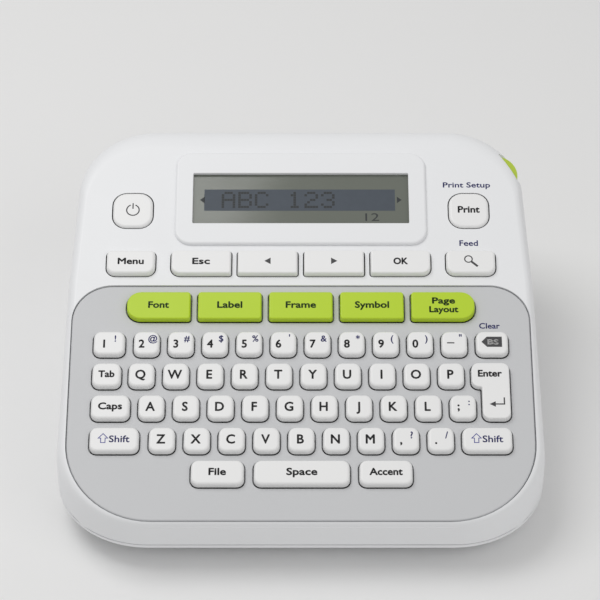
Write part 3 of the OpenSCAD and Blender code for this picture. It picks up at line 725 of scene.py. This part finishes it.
def lever_window():
    """Cutters of the corner notch that the lever shows in, and of the room for its ends behind the skin."""
    notch = box_solid((NOTCH_D, -NOTCH_HALF_W, LEVER_LOW), (20 * MM, NOTCH_HALF_W, SHELL_HIGH.z + 5 * MM))
    notch.transform(Matrix.Translation((*LEVER_C, 0)) @ Matrix.Rotation(LEVER_ANGLE, 4, "Z"))
    room = post(LEVER_C.x, LEVER_C.y, LEVER_R + LEVER_ROOM, LEVER_LOW, 90 * MM, 64)
    under_deck = prism(box_corners((60 * MM, 55 * MM), (60 * MM, 70 * MM)), (0.1 * MM,) * 4,
                       -40 * MM, -2.6 * MM)
    under_deck.transform(DECK)
    return notch, cut(room, under_deck, "INTERSECT")


upper_shell()

panel = panel_shape(PANEL_BOTTOM, PANEL_TOP, rim=0.5 * MM)
panel = cut(panel, key_holes(PANEL_KEYS, PANEL_BOTTOM - 3 * MM, 3 * MM))
rounder(add_piece("keypad_plate", panel, MATERIALS["panel_grey"], BODIES["keypad_panel"],
                  ("keypad_panel",)), 0.2 * MM, 2)

for cad_node, fillet in (("lower_housing", 0.3), ("back_cover", 0.25), ("cutter_lever", 0.5),
                         ("rubber_feet", 0.3)):
    copy = bmesh.new()
    copy.from_mesh(NODES[cad_node].data)
    bmesh.ops.remove_doubles(copy, verts=copy.verts, dist=0.004 * MM)
    bmesh.ops.dissolve_limit(copy, angle_limit=math.radians(0.5), verts=copy.verts, edges=copy.edges)
    part = add_piece(cad_node + "_moulding", copy, MATERIALS[SLOTS[cad_node]], BODIES[cad_node],
                     (cad_node,))
    rounder(part, fillet * MM, 2)

# ---------------------------------------------------------------- display

FRAME_LOW, FRAME_HIGH = deck_box("display_frame")
PANE_LOW, PANE_HIGH = deck_box("display_window")
PANE_C = Vector(((PANE_LOW.x + PANE_HIGH.x) / 2, (PANE_LOW.y + PANE_HIGH.y) / 2))
FRAME_C = Vector(((FRAME_LOW.x + FRAME_HIGH.x) / 2, (FRAME_LOW.y + FRAME_HIGH.y) / 2))
PANE_LAP = 1.1 * MM        # how far the frame covers the pane's edge
VIEW_W = PANE_HIGH.x - PANE_LOW.x - 2 * PANE_LAP
VIEW_H = PANE_HIGH.y - PANE_LOW.y - 2 * PANE_LAP
FRAME_W = FRAME_HIGH.x - FRAME_LOW.x
FRAME_H = FRAME_HIGH.y - FRAME_LOW.y

BEZEL_R = 5.5 * MM         # corners of the raised frame, and the rounding over its rim
BEZEL_RIM = 0.9 * MM
COLLAR_R = 3.7 * MM        # the collar that goes through the housing, and its step from the frame's edge
COLLAR_STEP = 3.3 * MM
PANE_SEAT = 1.2 * MM       # how much wider than the view the pane's seat is, on each side


def pane_opening(grow, radius, high):
    """A cutter through the frame over the view, grown on each side."""
    size = (VIEW_W + 2 * grow, VIEW_H + 2 * grow)
    return shape(box_corners(PANE_C, size), [radius] * 4, -6 * MM, high)


bezel = shape(box_corners(FRAME_C, (FRAME_W, FRAME_H)), [BEZEL_R] * 4, -0.02 * MM, FRAME_HIGH.z,
              rim=BEZEL_RIM, segments=12)
collar = shape(box_corners(FRAME_C, (FRAME_W - 2 * COLLAR_STEP, FRAME_H - 2 * COLLAR_STEP)), [COLLAR_R] * 4,
               FRAME_LOW.z, 0.2 * MM)
bezel = cut(bezel, collar, "UNION")
bezel = cut(bezel, pane_opening(0, 0.4 * MM, 6 * MM))
bezel = cut(bezel, pane_opening(PANE_SEAT, 1 * MM, -0.1 * MM))
rounder(add_piece("display_bezel", bezel, MATERIALS["housing_white"], BODIES["display_frame"],
                  ("display_frame",)), 0.2 * MM, 2)

# ---------------------------------------------------------------- printed legends

PRINTS = {}


def print_mesh(body, colour):
    """The bmesh that collects the printing in one colour on one body."""
    return PRINTS.setdefault((body, colour.name), (bmesh.new(), colour))[0]


def place_flat(flat, body, colour, centre, level):
    """Lays a flat bmesh in millimetres on the deck, at a level."""
    flat.transform(DECK @ Matrix.Translation((*centre, level)) @ Matrix.Diagonal((MM, MM, MM, 1)))
    merge_into(print_mesh(body, colour), flat)


def letters(text, height, width=None, weight=0.0):
    """Flat text centred on the origin, in millimetres; weight thickens its strokes."""
    curve = bpy.data.curves.new("text", "FONT")
    curve.body = text
    curve.size = 1.0
    curve.resolution_u = 3
    holder = bpy.data.objects.new("text", curve)
    bpy.context.scene.collection.objects.link(holder)
    bpy.context.view_layer.update()
    mesh = bpy.data.meshes.new_from_object(holder.evaluated_get(bpy.context.evaluated_depsgraph_get()))
    flat = bmesh.new()
    flat.from_mesh(mesh)
    bpy.data.objects.remove(holder)
    bpy.data.curves.remove(curve)
    bpy.data.meshes.remove(mesh)
    low, high = low_high([v.co for v in flat.verts])
    tall = height / CAPITAL
    wide = (width - 2 * weight) / (high.x - low.x) if width else tall * 0.94
    bmesh.ops.translate(flat, verts=flat.verts, vec=(-(low.x + high.x) / 2, -CAPITAL / 2, 0))
    bmesh.ops.scale(flat, verts=flat.verts, vec=(wide, tall, 1))
    if not weight:
        return flat
    thick = bmesh.new()
    for turn in range(0, 360, 45):
        copy = flat.copy()
        shift = (weight * math.cos(math.radians(turn)), weight * math.sin(math.radians(turn)), 0)
        bmesh.ops.translate(copy, verts=copy.verts, vec=shift)
        merge_into(thick, copy)
    flat.free()
    return thick


CAPITAL = 0.729      # height of a capital in a text curve of size 1


def stroke(points, width, closed=False):
    """A flat ribbon of one width along some points."""
    flat = bmesh.new()
    points = [Vector((*p, 0)) for p in points]
    count = len(points)
    sides = []
    for i, p in enumerate(points):
        before = points[i - 1] if closed or i else p
        after = points[(i + 1) % count] if closed or i < count - 1 else p
        first = (p - before).normalized() if p != before else (after - p).normalized()
        second = (after - p).normalized() if after != p else first
        bisector = (first + second).normalized()
        normal = Vector((-bisector.y, bisector.x, 0))
        reach = width / 2 / max(0.3, bisector.dot(first))
        sides.append((flat.verts.new(p + normal * reach), flat.verts.new(p - normal * reach)))
    for i in range(count if closed else count - 1):
        left, right = sides[i]
        next_left, next_right = sides[(i + 1) % count]
        flat.faces.new((right, next_right, next_left, left))
    return flat


def polygon(points):
    """A flat face through some points."""
    flat = bmesh.new()
    flat.faces.new([flat.verts.new((*p, 0)) for p in points])
    return flat


def arc(radius, start, end, steps, middle=(0, 0)):
    """Points of an arc, in degrees."""
    angles = [math.radians(start + (end - start) * i / steps) for i in range(steps + 1)]
    return [(middle[0] + radius * math.cos(a), middle[1] + radius * math.sin(a)) for a in angles]


def moved(flat, u, v):
    """A flat bmesh moved by some millimetres."""
    bmesh.ops.translate(flat, verts=flat.verts, vec=(u, v, 0))
    return flat


INK_GAP = 0.012 * MM


def on_key(node, flat, colour=INK_DARK, u=0.0, v=0.0, index=0):
    """Prints a flat bmesh on a key, u and v in millimetres from its middle."""
    middle = outline_middle(KEYS[node][index][0])
    place_flat(flat, BODIES[node], colour, (middle.x + u * MM, middle.y + v * MM), TOPS[node] + INK_GAP)


INK_GREEN = ink("ink_on_green", srgb(60, 92, 26))
BOLD = 0.13          # mm added all round the strokes of a bold legend
THIN = 0.07          # and of a second symbol or a caption

ROWS = {
    "top_letter_keys": "QWERTYUIOP",
    "home_letter_keys": "ASDFGHJKL",
    "bottom_letter_keys": "ZXCVBNM",
}
for row, characters in ROWS.items():
    for index, character in enumerate(characters):
        on_key(row, letters(character, 3.3, weight=BOLD), u=-0.3, v=0.1, index=index)

for index, (main, second) in enumerate(zip("1234567890-", "!@#$%'&*()\"")):
    if main == "-":
        on_key("number_keys", polygon([(1.2, 0.22), (-1.2, 0.22), (-1.2, -0.22), (1.2, -0.22)]),
               u=-1.2, v=-0.1, index=index)
    else:
        on_key("number_keys", letters(main, 3.0, weight=BOLD), u=-1.6, v=-0.3, index=index)
    on_key("number_keys", letters(second, 2.4, weight=THIN), INK_BLUE, u=2.0,
           v=1.9 if second in "'\"" else 1.6, index=index)

on_key("home_letter_keys", letters(";", 3.0, weight=BOLD), u=-1.5, v=0.2, index=9)
on_key("home_letter_keys", letters(":", 2.4, weight=THIN), INK_BLUE, u=1.9, v=1.7, index=9)
on_key("bottom_letter_keys", letters(",", 3.0, weight=BOLD), u=-1.6, v=-0.2, index=7)
on_key("bottom_letter_keys", letters("?", 2.5, weight=THIN), INK_BLUE, u=1.8, v=1.5, index=7)
on_key("bottom_letter_keys", letters(".", 3.0, weight=BOLD), u=-1.6, v=-0.2, index=8)
on_key("bottom_letter_keys", letters("/", 2.5, weight=THIN), INK_BLUE, u=1.8, v=1.5, index=8)

WORDS = {            # key: text, height of its capitals, width of the word, in mm, and its colour
    "tab_key": ("Tab", 2.45, 5.3, INK_DARK), "caps_key": ("Caps", 2.45, 7.8, INK_DARK),
    "file_key": ("File", 2.5, 5.6, INK_DARK), "space_key": ("Space", 2.5, 9.9, INK_DARK),
    "accent_key": ("Accent", 2.5, 10.6, INK_DARK), "menu_key": ("Menu", 2.4, 8.7, INK_DARK),
    "escape_key": ("Esc", 2.4, 5.9, INK_DARK), "ok_key": ("OK", 2.5, 4.8, INK_DARK),
    "print_key": ("Print", 2.6, 7.4, INK_DARK), "font_key": ("Font", 2.45, 6.9, INK_GREEN),
    "label_key": ("Label", 2.45, 8.3, INK_GREEN), "frame_key": ("Frame", 2.45, 10.0, INK_GREEN),
    "symbol_key": ("Symbol", 2.45, 11.3, INK_GREEN),
}
for word_key, (word, height, width, colour) in WORDS.items():
    on_key(word_key, letters(word, height, width, BOLD), colour, v=0.25)
on_key("template_key", letters("Page", 2.3, 7.6, BOLD), INK_GREEN, u=0.2, v=1.8)
on_key("template_key", letters("Layout", 2.3, 9.6, BOLD), INK_GREEN, u=0.2, v=-1.5)

SHIFT_ARROW = [(0, 1.7), (-1.5, 0.1), (-0.7, 0.1), (-0.7, -1.5), (0.7, -1.5), (0.7, 0.1), (1.5, 0.1)]
for shift_key in ("left_shift_key", "right_shift_key"):
    on_key(shift_key, stroke(SHIFT_ARROW, 0.28, closed=True), INK_BLUE, u=-3.5, v=0.2)
    on_key(shift_key, letters("Shift", 2.45, 6.6, THIN), INK_BLUE, u=1.7, v=0.1)

TRIANGLE = [(-1.1, 0), (1.0, -1.25), (1.0, 1.25)]
on_key("left_key", polygon(TRIANGLE), v=0.2)
on_key("right_key", polygon([(-x, -y) for x, y in TRIANGLE]), v=0.2)
on_key("search_key", stroke(arc(1.25, 0, 345, 23, (-0.8, 0.9)), 0.4, closed=True))
on_key("search_key", stroke([(0.2, -0.1), (2.2, -1.9)], 0.75))
on_key("power_key", stroke(arc(2.1, 112, 428, 30, (0, -0.3)), 0.42), v=0.2)
on_key("power_key", stroke([(0, 2.4), (0, 0.2)], 0.42), v=0.2)
on_key("backspace_key", polygon([(-3.5, 0), (-1.7, -1.9), (3.2, -1.9), (3.2, 1.9), (-1.7, 1.9)]), v=0.3)
place = outline_middle(KEYS["backspace_key"][0][0])
place_flat(letters("BS", 1.9, 3.6, 0.08), BODIES["backspace_key"], INK_LIGHT,
           (place.x + 0.3 * MM, place.y + 0.3 * MM), TOPS["backspace_key"] + 2 * INK_GAP)
on_key("enter_key", letters("Enter", 2.45, 7.8, BOLD), u=-0.2, v=6.3)
on_key("enter_key", stroke([(4.1, -2.6), (4.1, -5.0), (0.9, -5.0)], 0.45))
on_key("enter_key", polygon([(-0.7, -5.0), (1.3, -6.0), (1.3, -4.0)]))


def on_deck(text, height, width, centre, level):
    """Words printed on the housing or the panel, centre in millimetres on the deck."""
    flat = letters(text, height, width, THIN)
    place_flat(flat, "housing", INK_BLUE, (centre[0] * MM, centre[1] * MM), level)


on_deck("Print Setup", 2.1, 16.0, (56.0, 47.6), INK_GAP)
on_deck("Feed", 2.2, 6.2, (56.0, 24.6), INK_GAP)
on_deck("Clear", 2.1, 6.8, (61.8, -7.0), PANEL_TOP + INK_GAP)

# Display: dark cells of the character band, its text, side arrows and a small counter
GLYPHS = {
    "A": "01110 10001 10001 11111 10001 10001 10001", "B": "11110 10001 10001 11110 10001 10001 11110",
    "C": "01110 10001 10000 10000 10000 10001 01110", "1": "00100 01100 00100 00100 00100 00100 01110",
    "2": "01110 10001 00001 00110 01000 10000 11111", "3": "01110 10001 00001 00110 00001 10001 01110",
    " ": "00000 00000 00000 00000 00000 00000 00000",
}
DOT = 0.93           # pitch of the display's dots, in mm
DOT_HALF = DOT * 0.46
BAND_TOP = 4.15      # character band above and below the middle of the pane, in mm
BAND_BOTTOM = -4.3
BAND_START = 0.052   # ends of the band, as shares of the view's width
BAND_END = 0.937
ARROW_TIP = 0.468    # side arrows and counter from the middle, as shares of the view's width
COUNTER_U = 0.33
VIEW_MM = VIEW_W / MM
PANE_TOP = PANE_HIGH.z
band_low, band_high = (BAND_START - 0.5) * VIEW_MM, (BAND_END - 0.5) * VIEW_MM
band = [(band_high, BAND_TOP), (band_low, BAND_TOP), (band_low, BAND_BOTTOM), (band_high, BAND_BOTTOM)]
place_flat(polygon(band), "housing", SEGMENT_BAND, PANE_C, PANE_TOP + INK_GAP)
pen = band_low + 0.7
for character in " ABC 123":
    for line, cells in enumerate(GLYPHS[character].split()):
        for column, cell in enumerate(cells):
            if cell == "1":
                middle = (pen + column * DOT, (3 - line) * DOT)
                dot = polygon(box_corners(middle, (2 * DOT_HALF, 2 * DOT_HALF)))
                place_flat(dot, "housing", SEGMENT_DARK, PANE_C, PANE_TOP + 2 * INK_GAP)
    pen += 6 * DOT
for end in (-1, 1):
    tip = ARROW_TIP * VIEW_MM * end
    arrow = polygon([(tip, 0), (tip - 1.6 * end, 1.3 * end), (tip - 1.6 * end, -1.3 * end)])
    place_flat(arrow, "housing", SEGMENT_DARK, PANE_C, PANE_TOP + INK_GAP)
place_flat(moved(letters("12", 3.2, 4.6), COUNTER_U * VIEW_MM, -6.7), "housing", SEGMENT_DARK, PANE_C,
           PANE_TOP + INK_GAP)

for (print_body, ink_name), (printing, colour) in PRINTS.items():
    mesh = bpy.data.meshes.new("print")
    printing.to_mesh(mesh)
    printing.free()
    mesh.materials.append(colour)
    legend = bpy.data.objects.new(f"print_{print_body}_{ink_name}", mesh)
    bpy.context.scene.collection.objects.link(legend)
    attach(legend, print_body)

# ---------------------------------------------------------------- stage, lights and camera

floor_bm = bmesh.new()
bmesh.ops.create_grid(floor_bm, x_segments=1, y_segments=1, size=3.0)
floor_mesh = bpy.data.meshes.new("floor")
floor_bm.to_mesh(floor_mesh)
floor_bm.free()
floor_mesh.materials.append(moulded("floor", srgb(236, 236, 236), 0.6, grain=300.0, depth=0.02, drift=0.01))
floor = bpy.data.objects.new("floor", floor_mesh)
bpy.context.scene.collection.objects.link(floor)

world = bpy.data.worlds.new("studio")
bpy.context.scene.world = world
world.use_nodes = True
world.node_tree.nodes["Background"].inputs["Color"].default_value = (1.0, 0.995, 0.985, 1.0)
world.node_tree.nodes["Background"].inputs["Strength"].default_value = 0.5


def soft_light(name, place, target, size, power):
    """A square area light aimed at a point."""
    data = bpy.data.lights.new(name, "AREA")
    data.shape = "SQUARE"
    data.size = size
    data.energy = power
    lamp = bpy.data.objects.new(name, data)
    bpy.context.scene.collection.objects.link(lamp)
    lamp.location = place
    lamp.rotation_euler = (Vector(target) - Vector(place)).to_track_quat("-Z", "Y").to_euler()


MIDDLE = (0, 0, 0.04)
soft_light("key_light", (-0.35, 0.15, 0.85), MIDDLE, 0.55, 3.2)
soft_light("fill_light", (0.6, -0.5, 0.7), MIDDLE, 0.7, 1.3)

TARGET = Vector((-0.28 * MM, 9.62 * MM, 40.0 * MM))
DISTANCE = 873 * MM
ELEVATION = math.radians(41.5)
FOCAL = 157.2        # mm on a 36 mm wide sensor
camera_data = bpy.data.cameras.new("camera")
camera_data.lens = FOCAL
camera_data.sensor_width = 36.0
camera_data.clip_start = 0.05
camera = bpy.data.objects.new("camera", camera_data)
bpy.context.scene.collection.objects.link(camera)
camera.location = TARGET + DISTANCE * Vector((0, -math.cos(ELEVATION), math.sin(ELEVATION)))
camera.rotation_euler = (TARGET - camera.location).to_track_quat("-Z", "Y").to_euler()
bpy.context.scene.camera = camera
bpy.context.scene.view_settings.view_transform = "Standard"
